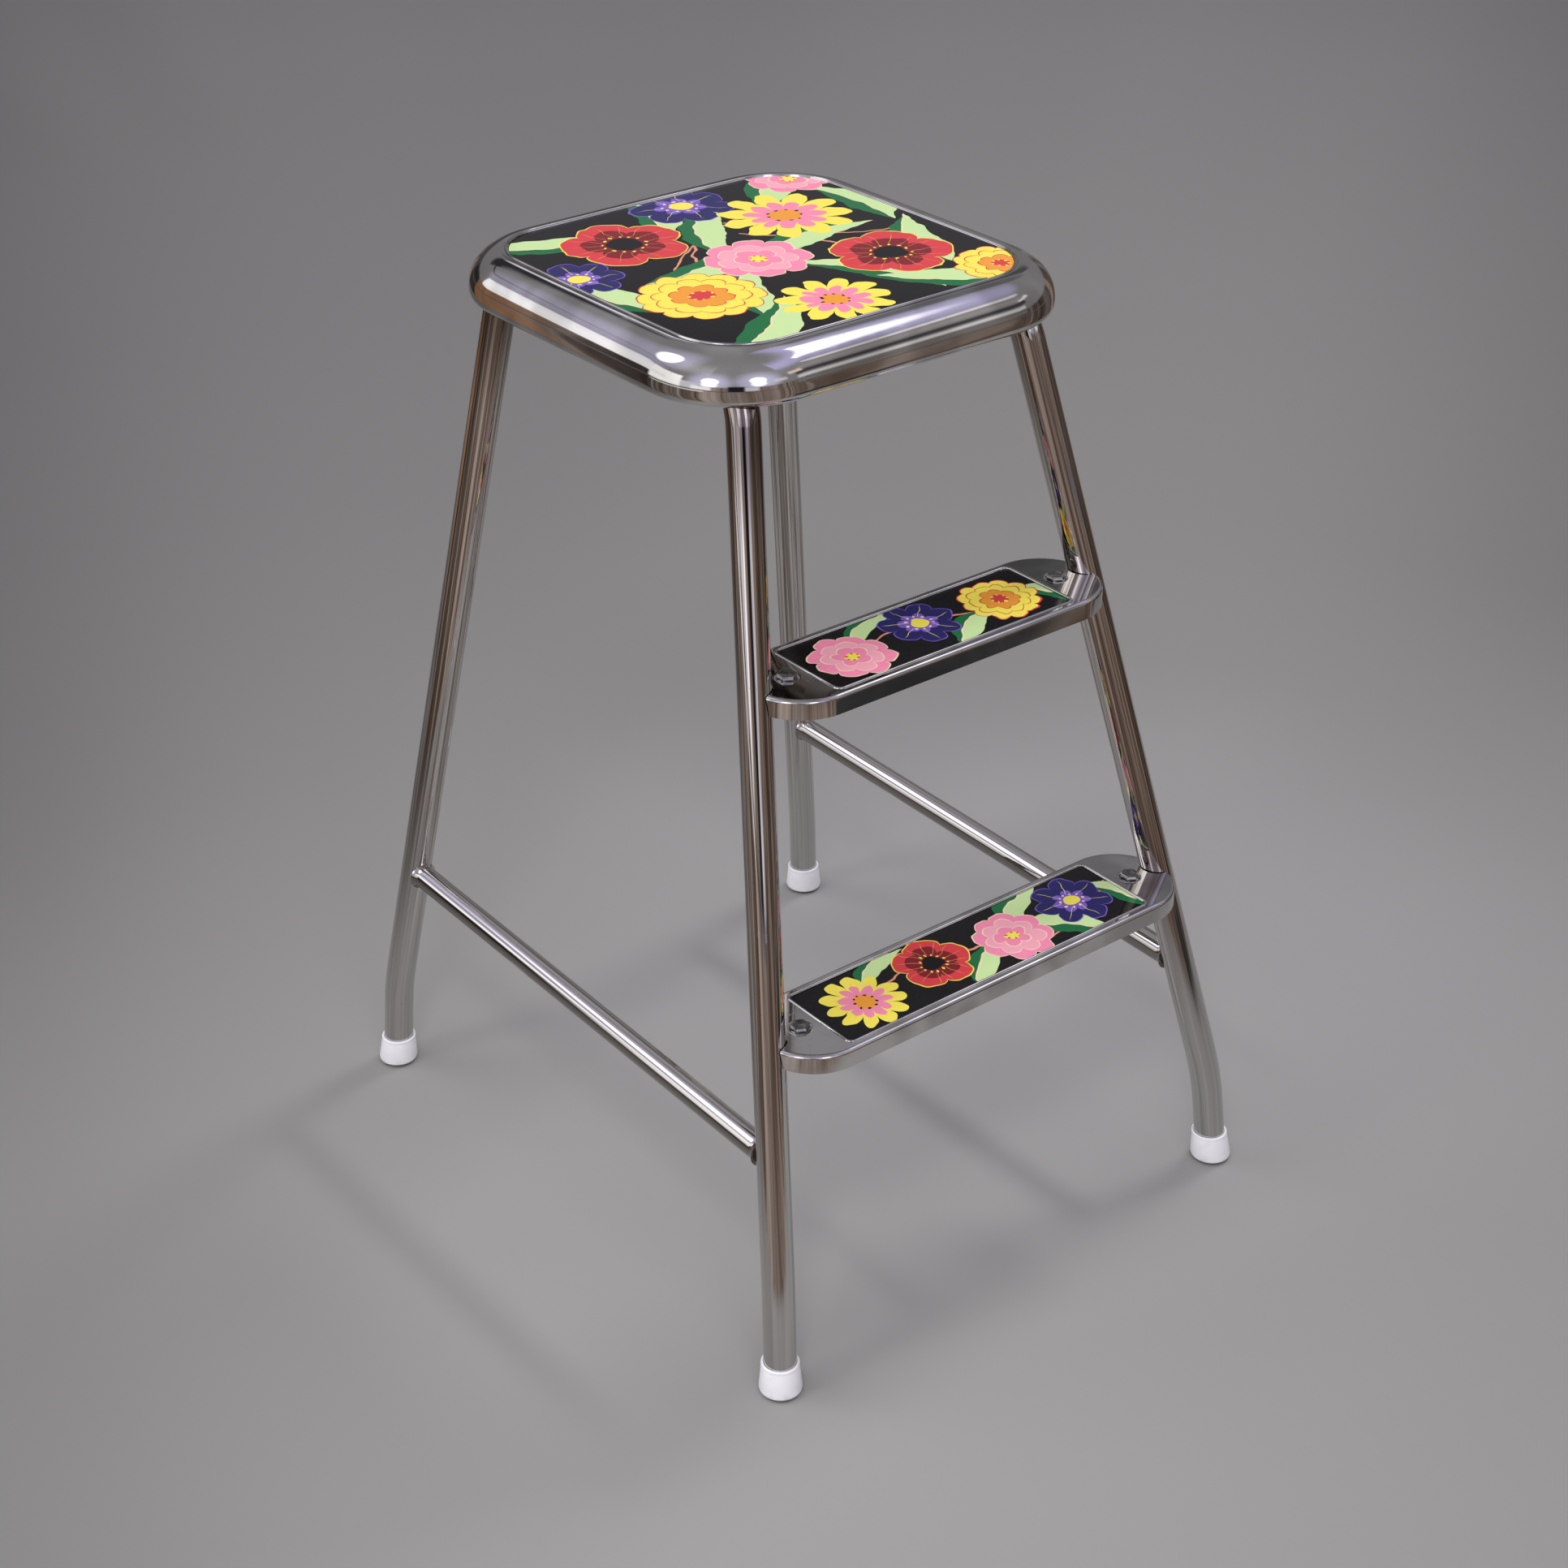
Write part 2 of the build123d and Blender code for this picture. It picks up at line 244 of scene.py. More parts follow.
def chrome_finish(name, marks, ridge, dull=sheet_dull, bright=sheet_bright, tone_and_painted_shade=None):
    """Plating with soft clouding, fine specks, the marks of drawing or pressing, and any extra tone and
    painted shade that is given.
    """
    material, shader, place = new_finish(name)
    shader.inputs["Metallic"].default_value = 1.0
    cloud = noise(place, 9.0, detail=3.0)
    drawn = marks(place)
    specks = noise(place, 900.0, detail=1.0).spread(0.70, 0.78)
    smudge = noise(place, 48.0, detail=4.0, rough=0.6).spread(0.60, 0.72)
    tone = drawn.spread(0.38, 0.62).mix(dull, bright)
    if tone_and_painted_shade:
        tone = tone_and_painted_shade(place, tone)
    feed(
        shader,
        Base_Color=(specks * 0.5).mix(tone, speck_brown),
        Roughness=0.025 + drawn.spread(0.45, 0.75) * 0.04 + smudge * 0.10 + specks * 0.12,
        Normal=bump(drawn + cloud * 0.6, ridge, 0.0004),
    )
    return material


def drawn_marks(place):
    """Marks that run along a tube, from drawing it through its die."""
    wall = place.node("ShaderNodeAttribute", {"attribute_name": "wall"}, output="Vector")
    lane = place.vector("MULTIPLY_ADD", place, (0.5, 0.5, 0.5), wall)
    return place.node(
        "ShaderNodeTexNoise", inputs={"Vector": lane, "Scale": 5.0, "Detail": 4.0, "Roughness": 0.6}
    )


def leg_tone_and_painted_shade(place, tone):
    """Lighter plating towards the feet, and painted shade just under the seat on the left legs."""
    spot = place.parts()
    tone = (spot.out("Z").spread(0.24, 0.08) * 0.8).mix(tone, lighter_low_tube)
    # Painted shade: the plating is darkened just under the seat on the left legs, where the seat shades
    # them.
    under_seat_shade_mask = spot.out("Z").spread(0.490, 0.555) * spot.out("X").spread(0.02, -0.02)
    return (under_seat_shade_mask * 0.75).mix(tone, painted_under_seat_shade)


tarnish = (0.27, 0.225, 0.195, 1)
polished = (0.80, 0.775, 0.745, 1)
lighter_low_tube = (0.62, 0.612, 0.598, 1)
painted_under_seat_shade = (0.17, 0.140, 0.120, 1)
tube_chrome = chrome_finish("tube_chrome", drawn_marks, 0.10, tarnish, polished, leg_tone_and_painted_shade)
for side, way in (("left", -1), ("right", 1)):
    flip = Matrix.Diagonal((way, 1, 1))
    front_end = foot_front + (knee_front - foot_front).normalized() * tube_end
    rear_end = foot_rear + (knee_rear - foot_rear).normalized() * tube_end
    route = [flip @ at for at in (front_end, knee_front, run_front, run_rear, knee_rear, rear_end)]
    frame_tube = tube_mesh(route, (knee_bend, top_bend, top_bend, knee_bend), tube_radius)
    side_frame = piece(f"{side}_side_frame_tube", frame_tube, tube_chrome, f"{side}_side_frame")


# Stretchers: one thinner chromed tube on each side, coped round the front and the
# rear leg and welded there, with a small smooth weld bead at each end.
stretcher_radius = 0.008
stretcher_front = Vector((0.16676, -0.19099, 0.148))
stretcher_rear = Vector((0.16556, 0.20263, 0.156))
stretcher_cope = tube_radius * 0.9
weld_reach = 0.0035
weld_swell = 0.0016
weld_face = 0.001
weld_run_out = 0.002
stretcher_tarnish = (0.52, 0.500, 0.475, 1)
painted_stretcher_shade = (0.27, 0.250, 0.232, 1)


def stretcher_lower_shade(place, tone):
    """Painted shade on a level tube: the plating is darkened everywhere but along its top."""
    wall = place.node("ShaderNodeAttribute", {"attribute_name": "wall"}, output="Vector")
    height = wall.parts().out("Y")
    # Painted shade: the plating is darkened below the top of the tube.
    return (height.spread(0.60, 0.40) * 0.85).mix(tone, painted_stretcher_shade)


stretcher_chrome = chrome_finish(
    "stretcher_chrome", drawn_marks, 0.10, stretcher_tarnish, polished, stretcher_lower_shade
)
for side, way in (("left", -1), ("right", 1)):
    flip = Matrix.Diagonal((way, 1, 1))
    start, stop = flip @ stretcher_front, flip @ stretcher_rear
    along = (stop - start).normalized()
    middle = start + along * stretcher_cope
    stretcher_tube = tube_start(middle, along, stretcher_radius + weld_swell)
    edges = stretcher_tube.edges[:]
    length = (stop - start).length - 2 * stretcher_cope
    slim = stretcher_radius / (stretcher_radius + weld_swell)
    for travel, size in (
        (weld_face, 0.5 + 0.5 * slim),
        (weld_reach - weld_face, 2 * slim / (1 + slim)),
        (weld_run_out, 1),
        (length - 2 * weld_reach - 2 * weld_run_out, 1),
        (weld_run_out, 1),
        (weld_reach - weld_face, (1 + slim) / (2 * slim)),
        (weld_face, 2 / (1 + slim)),
    ):
        drawn = draw(stretcher_tube, edges, along * travel)
        ring, edges = points(drawn), lines(drawn)
        middle = middle + along * travel
        bmesh.ops.scale(
            stretcher_tube, verts=ring, vec=(size, size, size), space=Matrix.Translation(-middle)
        )
    bmesh.ops.holes_fill(stretcher_tube, edges=stretcher_tube.edges[:])
    bmesh.ops.recalc_face_normals(stretcher_tube, faces=stretcher_tube.faces[:])
    stretcher = piece(f"{side}_stretcher_tube", stretcher_tube, stretcher_chrome, f"{side}_stretcher")


# Feet: moulded white rubber cups pushed over the tube ends. Each has a rolled lip
# at the top and tapers out to a rounded base. Its bottom is painted black, partly
# for dirt on the sole and partly as painted contact shadow.
foot_height = 0.0205
foot_lip_radius = 0.0115
foot_base_radius = 0.0133
foot_round = 0.0035
foot_bore = 0.0101
foot_bore_depth = 0.006
rubber_white = (0.90, 0.89, 0.91, 1)
rubber_pale = (0.95, 0.94, 0.95, 1)
rubber_scuff = (0.42, 0.40, 0.37, 1)
sole_dirt_and_contact_shadow = (0.014, 0.013, 0.013, 1)
foot_rubber, shader, place = new_finish("foot_rubber")
scuff = noise(place, 160.0, detail=4.0).spread(0.52, 0.74)
height = place.parts().out("Z")
shade = noise(place, 45.0, detail=2.0)
clean = shade.spread(0.3, 0.7).mix(rubber_white, rubber_pale)
scuffed = (scuff * (0.10 + height.spread(0.006, 0.0) * 0.5)).mix(clean, rubber_scuff)
# The base colour is painted black at the very bottom: dirt on the sole, and painted contact shadow.
feed(
    shader,
    Base_Color=height.spread(0.0030, 0.0014).mix(scuffed, sole_dirt_and_contact_shadow),
    Roughness=0.38 + scuff * 0.2,
    Normal=bump(shade, 0.12, 0.0003),
)
for name, at, knee, mirror in (
    ("front_left", foot_front, knee_front, -1),
    ("front_right", foot_front, knee_front, 1),
    ("rear_left", foot_rear, knee_rear, -1),
    ("rear_right", foot_rear, knee_rear, 1),
):
    cup = bmesh.new()
    outline = [
        (0, 0),
        (foot_base_radius - foot_round, 0),
        (foot_base_radius - foot_round * 0.5, foot_round * 0.134),
        (foot_base_radius - foot_round * 0.134, foot_round * 0.5),
        (foot_base_radius, foot_round),
        (foot_lip_radius + 0.0001, foot_height - 0.0022),
        (foot_lip_radius, foot_height - 0.0018),
        (foot_lip_radius + 0.0003, foot_height - 0.0013),
        (foot_lip_radius + 0.0002, foot_height - 0.0005),
        (foot_lip_radius - 0.0003, foot_height),
        (foot_bore + 0.0002, foot_height),
        (foot_bore, foot_height - 0.0004),
        (foot_bore, foot_height - foot_bore_depth),
        (0, foot_height - foot_bore_depth),
    ]
    rim = [cup.verts.new((radius, 0, height)) for radius, height in outline]
    chain = [cup.edges.new(pair) for pair in zip(rim, rim[1:])]
    bmesh.ops.spin(
        cup, geom=rim + chain, cent=(0, 0, 0), axis=(0, 0, 1), angle=2 * math.pi, steps=48, use_merge=True
    )
    bmesh.ops.remove_doubles(cup, verts=cup.verts[:], dist=1e-6)
    bmesh.ops.recalc_face_normals(cup, faces=cup.faces[:])
    lean = (knee - at) / knee.z
    shear = Matrix(
        (
            (1, 0, mirror * lean.x, mirror * at.x),
            (0, 1, lean.y, at.y),
            (0, 0, 1, 0),
            (0, 0, 0, 1),
        )
    )
    bmesh.ops.transform(cup, matrix=shear, verts=cup.verts[:])
    foot = piece(f"{name}_rubber_foot", cup, foot_rubber, f"{name}_foot", sharp=math.radians(60))


# Seat clips: bent straps round the tube under the seat, drawn up by nuts on studs
# that are welded to the deck. Plain zinc, out of sight from above.
dull_zinc, shader, place = new_finish("dull_zinc")
grain = noise(place, 300.0, detail=3.0)
stain = noise(place, 40.0, detail=4.0).spread(0.45, 0.7)
feed(
    shader,
    Base_Color=stain.mix((0.44, 0.44, 0.44, 1), (0.30, 0.29, 0.27, 1)),
    Roughness=0.32 + grain * 0.2 + stain * 0.15,
    Normal=bump(grain, 0.15, 0.0003),
)
shader.inputs["Metallic"].default_value = 1.0


def dress(name, material):
    """Give a piece that is carried over from the CAD its finish."""
    nodes[name].data.materials.clear()
    nodes[name].data.materials.append(material)


for name in ("front_left", "front_right", "rear_left", "rear_right"):
    dress(f"{name}_seat_clip", dull_zinc)
for name in ("seat_studs", "seat_stud_nuts", "tread_nuts"):
    dress(name, dull_zinc)


# Seat shell: one sheet pressed into a square with swollen sides and round corners,
# a bullnose rim turned under at the edge, and a sunk deck with a fine bead round it.
seat_middle = Vector((0, 0.030, 0))
seat_half = Vector((0.142, 0.143))
corner_middle = Vector((0.077374, 0.078381))
corner_radius = 0.064
rim_top = 0.6006
bullnose = 0.022
hem_round = 0.007
hem_level = 0.578
hem_turn = math.acos(1 / 7)
deck_inset = 0.0244
deck_level = 0.5985
bead_radius = 0.0008
bead_inset = 0.0232
deck_nick = 0.0001
deck_margin = 0.012
seat_sheet = 0.001


def swell(reach, across, along):
    """Distance behind the seat's middle from which a swollen side is struck."""
    return (across**2 + along**2 - reach**2) / (2 * (reach - along))


shell = bmesh.new()
front = -seat_half.y


def rim_point(inset, height):
    """A point of the rim's section, at the middle of the front."""
    return Vector((0, front + inset, height))


def carry(shape, tip, point):
    """Carry a section straight on to a point."""
    drawn = bmesh.ops.extrude_vert_indiv(shape, verts=tip)["verts"]
    drawn[0].co = point
    return drawn


def curl(shape, tip, middle, angle, steps):
    """Carry a section on round a point, as a roller does."""
    bent = bmesh.ops.spin(shape, geom=tip, cent=middle, axis=(1, 0, 0), angle=angle, steps=steps)
    return points(bent["geom_last"])


hem_end = rim_point(hem_round * (1 - math.cos(hem_turn)), hem_level - hem_round * math.sin(hem_turn))
tip = [shell.verts.new(hem_end)]
tip = curl(shell, tip, rim_point(hem_round, hem_level), -hem_turn, 10)
tip = carry(shell, tip, rim_point(0, rim_top - bullnose))
tip = curl(shell, tip, rim_point(bullnose, rim_top - bullnose), -math.pi / 2, 28)
tip = carry(shell, tip, rim_point(bead_inset - bead_radius, rim_top))
tip = curl(shell, tip, rim_point(bead_inset, rim_top), -math.pi, 8)
tip = carry(shell, tip, rim_point(deck_inset - deck_nick, rim_top))
tip = carry(shell, tip, rim_point(deck_inset, rim_top - deck_nick))
tip = carry(shell, tip, rim_point(deck_inset, deck_level))
tip = carry(shell, tip, rim_point(deck_inset + deck_margin, deck_level))
front_middle = Vector((0, swell(seat_half.y - corner_radius, corner_middle.x, corner_middle.y), 0))
side_middle = Vector((-swell(seat_half.x - corner_radius, corner_middle.y, corner_middle.x), 0, 0))
corner = Vector((corner_middle.x, -corner_middle.y, 0))
front_sweep = math.atan2(corner.x, front_middle.y - corner.y)
side_sweep = math.atan2(-corner.y, corner.x - side_middle.x)
swept = shell.verts[:] + shell.edges[:]
for middle, sweep, steps in (
    (front_middle, front_sweep, 12),
    (corner, math.pi / 2 - front_sweep - side_sweep, 28),
    (side_middle, side_sweep, 12),
):
    swept = bmesh.ops.spin(
        shell, geom=swept, cent=middle, axis=(0, 0, 1), angle=sweep, steps=steps
    )["geom_last"]
for axis in ("X", "Y"):
    whole = shell.verts[:] + shell.edges[:] + shell.faces[:]
    bmesh.ops.mirror(shell, geom=whole, axis=axis, merge_dist=1e-6)
bmesh.ops.remove_doubles(shell, verts=shell.verts[:], dist=2e-6)
inner = [edge for edge in shell.edges if edge.is_boundary and edge.verts[0].co.z > deck_level - 1e-4]
bmesh.ops.edgeloop_fill(shell, edges=inner)
bmesh.ops.recalc_face_normals(shell, faces=shell.faces[:])
bmesh.ops.solidify(shell, geom=shell.faces[:], thickness=seat_sheet)
bmesh.ops.translate(shell, verts=shell.verts[:], vec=seat_middle)


def pressed_marks(place):
    """Slight unevenness that the press and the polishing wheel leave in a sheet."""
    return noise(place, 26.0, detail=2.0)


seat_chrome = chrome_finish("seat_chrome", pressed_marks, 0.03)
seat = piece("seat_pressing", shell, seat_chrome, "seat_shell", sharp=math.radians(50))


# Seat panel: a thin sheet, printed in flat bright inks on black, lacquered and let
# into the sunk deck of the seat. The print is a meadow of open blossoms and leaves.
seat_panel_middle = (0, 30, 0)
black_ink = (0.0040, 0.0034, 0.0038, 1)
worn_black_ink = (0.0085, 0.0075, 0.0080, 1)
yellow_ink = (0.93, 0.80, 0.100, 1)
orange_ink = (0.86, 0.34, 0.040, 1)
red_ink = (0.68, 0.050, 0.060, 1)
wine_ink = (0.22, 0.010, 0.020, 1)
pink_ink = (0.92, 0.270, 0.420, 1)
rose_ink = (0.92, 0.400, 0.480, 1)
cream_ink = (0.92, 0.74, 0.46, 1)
indigo_ink = (0.020, 0.018, 0.115, 1)
violet_ink = (0.20, 0.110, 0.520, 1)
pale_green_ink = (0.58, 0.78, 0.350, 1)
deep_green_ink = (0.010, 0.150, 0.046, 1)
salmon_ink = (0.78, 0.300, 0.200, 1)
ink_edge = 0.22
stencil_wander = 7.0
rib_half = 0.45
stalk_half = 0.8
vein_half = 0.55


def printed_sheet(place, middle):
    """Millimetres over a panel, with the slight wander of a hand-cut stencil."""
    flat = place.node(
        "ShaderNodeMapping",
        inputs={"Vector": place, "Location": [-part for part in middle], "Scale": (1000, 1000, 0)},
    )
    wander = place.node(
        "ShaderNodeTexNoise", inputs={"Vector": flat, "Scale": 0.075, "Detail": 1.0}, output=1
    )
    return flat.vector("MULTIPLY_ADD", wander, (stencil_wander, stencil_wander, 0), flat)


def motif(sheet, across, back, turn):
    """Coordinates of one motif, from its own middle along its own heading."""
    middle = (across + stencil_wander / 2, back + stencil_wander / 2, 0)
    return sheet.node(
        "ShaderNodeMapping",
        {"vector_type": "TEXTURE"},
        {"Vector": sheet, "Location": middle, "Rotation": (0, 0, math.radians(turn))},
    )


def leaf(ink, sheet, across, back, turn, length, width, bend):
    """A curved leaf in two greens with a thin midrib."""
    at = motif(sheet, across, back, turn).parts()
    along = at.out("X") / (length / 2)
    room = 1 - along * along
    off = at.out("Y") - room * bend
    fold = off - room * (width * 0.14)
    ink_here = fold.spread(-ink_edge, ink_edge).mix(pale_green_ink, deep_green_ink)
    rib = (abs(fold) - rib_half).spread(ink_edge, -ink_edge)
    taper = 1 - along.math("MINIMUM", along, 1.0) * 0.30
    inside = (room * (width / 2) * taper - abs(off)).spread(-ink_edge, ink_edge)
    return inside.mix(ink, rib.mix(ink_here, cream_ink))


def stem(ink, sheet, across, back, turn, length, bend):
    """A thin curved stalk."""
    at = motif(sheet, across, back, turn).parts()
    along = at.out("X") / (length / 2)
    room = 1 - along * along
    line = (abs(at.out("Y") - room * bend) - stalk_half).spread(ink_edge, -ink_edge)
    return (line * room.spread(0.0, 0.01)).mix(ink, salmon_ink)


def blossom(ink, sheet, across, back, turn, size, rings, veins, heart, dots):
    """An open flower: rings of lobed petals with drawn edges, veins, and a dotted heart."""
    at = motif(sheet, across, back, turn)
    spot = at.parts()
    around = spot.math("ARCTAN2", spot.out("Y"), spot.out("X"))
    out = at.vector("LENGTH", at, output="Value")
    for petals, reach, dip, fill, line, line_width in rings:
        lobes = abs(around.math("COSINE", around * (petals / 2))) ** 0.55
        gap = (reach - dip) * size + lobes * (dip * size) - out
        ink = gap.spread(-ink_edge, ink_edge).mix(ink, line)
        ink = (gap - line_width).spread(-ink_edge, ink_edge).mix(ink, fill)
    petals, start, stop, colour = veins
    line = (abs(around.math("SINE", around * (petals / 2))) * out - vein_half).spread(ink_edge, -ink_edge)
    span = (out - start * size).spread(0, 0.8) * (stop * size - out).spread(0, size * 0.25)
    ink = (line * span).mix(ink, colour)
    ink = (out - heart[0] * size).spread(ink_edge, -ink_edge).mix(ink, heart[1])
    count, ring, colour = dots
    beads = around.math("COSINE", around * count) * 1.6 - abs(out - ring * size) * 1.2
    return beads.spread(0.2, 0.6).mix(ink, colour)


daisy = {
    "rings": [(11, 1.0, 0.45, yellow_ink, yellow_ink, 0.1), (11, 0.62, 0.30, pink_ink, pink_ink, 0.1)],
    "veins": (11, 0.30, 0.80, orange_ink),
    "heart": (0.25, orange_ink),
    "dots": (9, 0.24, black_ink),
}
poppy = {
    "rings": [(5, 1.0, 0.26, red_ink, yellow_ink, 0.9), (5, 0.66, 0.22, wine_ink, red_ink, 0.1)],
    "veins": (15, 0.34, 0.92, yellow_ink),
    "heart": (0.27, black_ink),
    "dots": (13, 0.33, yellow_ink),
}
rosette = {
    "rings": [
        (8, 1.0, 0.20, pink_ink, cream_ink, 0.8),
        (7, 0.74, 0.20, rose_ink, cream_ink, 0.7),
        (5, 0.47, 0.16, pink_ink, cream_ink, 0.7),
    ],
    "veins": (8, 0.70, 0.98, rose_ink),
    "heart": (0.18, yellow_ink),
    "dots": (6, 0.15, red_ink),
}
anemone = {
    "rings": [(7, 1.0, 0.30, indigo_ink, violet_ink, 0.8), (7, 0.50, 0.20, violet_ink, indigo_ink, 0.1)],
    "veins": (7, 0.30, 0.95, yellow_ink),
    "heart": (0.22, yellow_ink),
    "dots": (10, 0.31, cream_ink),
}
marigold = {
    "rings": [
        (12, 1.0, 0.15, yellow_ink, red_ink, 0.9),
        (10, 0.76, 0.14, yellow_ink, red_ink, 0.8),
        (8, 0.50, 0.12, orange_ink, red_ink, 0.8),
    ],
    "veins": (12, 0.74, 0.98, orange_ink),
    "heart": (0.20, red_ink),
    "dots": (7, 0.18, yellow_ink),
}


def printed_finish(name, middle, stems, leaves, blossoms):
    """Lacquered print: the inks laid down in order, with orange peel and fine scratches."""
    material, shader, place = new_finish(name)
    shader.inputs["Specular IOR Level"].default_value = 0.22
    sheet = printed_sheet(place, middle)
    tooth = noise(place, 700.0, detail=2.0)
    ink = tooth.spread(0.3, 0.7).mix(black_ink, worn_black_ink)
    for across, back, turn, length, bend in stems:
        ink = stem(ink, sheet, across, back, turn, length, bend)
    for across, back, turn, length, width, bend in leaves:
        ink = leaf(ink, sheet, across, back, turn, length, width, bend)
    for flower, across, back, turn, size in blossoms:
        ink = blossom(ink, sheet, across, back, turn, size, **flower)
    scratch = noise(place, 1.0, (40, 2600, 1), detail=2.0).spread(0.70, 0.74)
    peel = noise(place, 220.0, detail=1.0)
    feed(
        shader,
        Base_Color=ink,
        Roughness=0.055 + tooth * 0.04 + scratch * 0.22,
        Normal=bump(peel, 0.04, 0.0004),
    )
    return material


seat_print = printed_finish(
    "seat_print",
    seat_panel_middle,
    stems=[
        (-20, 20, 35, 150, 14),
        (30, -10, 100, 140, -16),
        (-40, -20, 70, 120, 12),
        (60, 10, 150, 110, 10),
    ],
    leaves=[
        (-90, 96, 155, 84, 26, 7),
        (-14, 98, 75, 80, 26, -8),
        (94, 92, 35, 96, 30, 10),
        (10, 52, 55, 96, 27, 11),
        (-102, -4, 100, 92, 28, 10),
        (-40, 10, 15, 92, 25, -11),
        (-36, -52, 60, 92, 27, 12),
        (-74, -94, 35, 100, 30, -10),
        (26, -66, 118, 100, 29, -12),
        (44, -2, 8, 96, 26, 11),
        (102, 42, 92, 84, 27, -9),
        (98, -40, 68, 92, 29, 10),
        (72, -96, 150, 96, 29, 10),
    ],
    blossoms=[
        (anemone, 16, 100, 10, 33),
        (poppy, -52, 64, 12, 39),
        (daisy, 56, 46, 8, 42),
        (anemone, -108, 30, 30, 28),
        (marigold, -70, -36, 0, 38),
        (rosette, -6, -6, 20, 33),
        (poppy, 62, -46, 50, 38),
        (daisy, -14, -88, 15, 34),
        (marigold, 100, -102, 10, 30),
        (rosette, 102, 102, 0, 28),
    ],
)
dress("seat_panel", seat_print)


# Tread trays: sheets pressed into long trays with a turned-down skirt, notched
# round the legs, chromed, and bolted down on tabs that are welded to the legs.
tread_half_depth = 0.0355
tread_round = 0.0024
tread_skirt = 0.0120
tread_lip = 0.0004
tread_sheet = 0.0012
tread_past_leg = 0.0022
tread_deck_half_depth = 0.0287
tread_deck_corner = 0.003
tread_deck_sink = 0.0020
bead_off_deck = 0.0012
notch_room = 0.0107
leg_lean = (run_front - knee_front) / (run_front.z - knee_front.z)
bolt_from_leg = 0.0232
dimple_section = (
    (0.0082, 0),
    (0.0075, 0),
    (0.0071, 0.00006),
    (0.0067, 0.00024),
    (0.0064, 0.0005),
    (0.0061, 0.0009),
    (0.0058, 0.00112),
    (0.0054, 0.0012),
    (0, 0.0012),
)
tread_levels = {
    "upper": {"leg": Vector((0.12655, -0.1253, 0)), "top": 0.4166, "deck_half_width": 0.08905},
    "lower": {"leg": Vector((0.15650, -0.17425, 0)), "top": 0.2170, "deck_half_width": 0.1190},
}


def sweep_round(shape, turns, angle, steps):
    """Sweep a section round a closed outline that is straight between its turns."""
    edges = [edge for edge in shape.edges if not edge.link_faces]
    for here, last in zip(turns, turns[-1:] + turns[:-1]):
        drawn = draw(shape, edges, Vector(here) - Vector(last))
        section = points(drawn) + lines(drawn)
        bent = bmesh.ops.spin(shape, geom=section, cent=here, axis=(0, 0, 1), angle=angle, steps=steps)
        edges = lines(bent["geom_last"])
    bmesh.ops.remove_doubles(shape, verts=shape.verts[:], dist=2e-6)


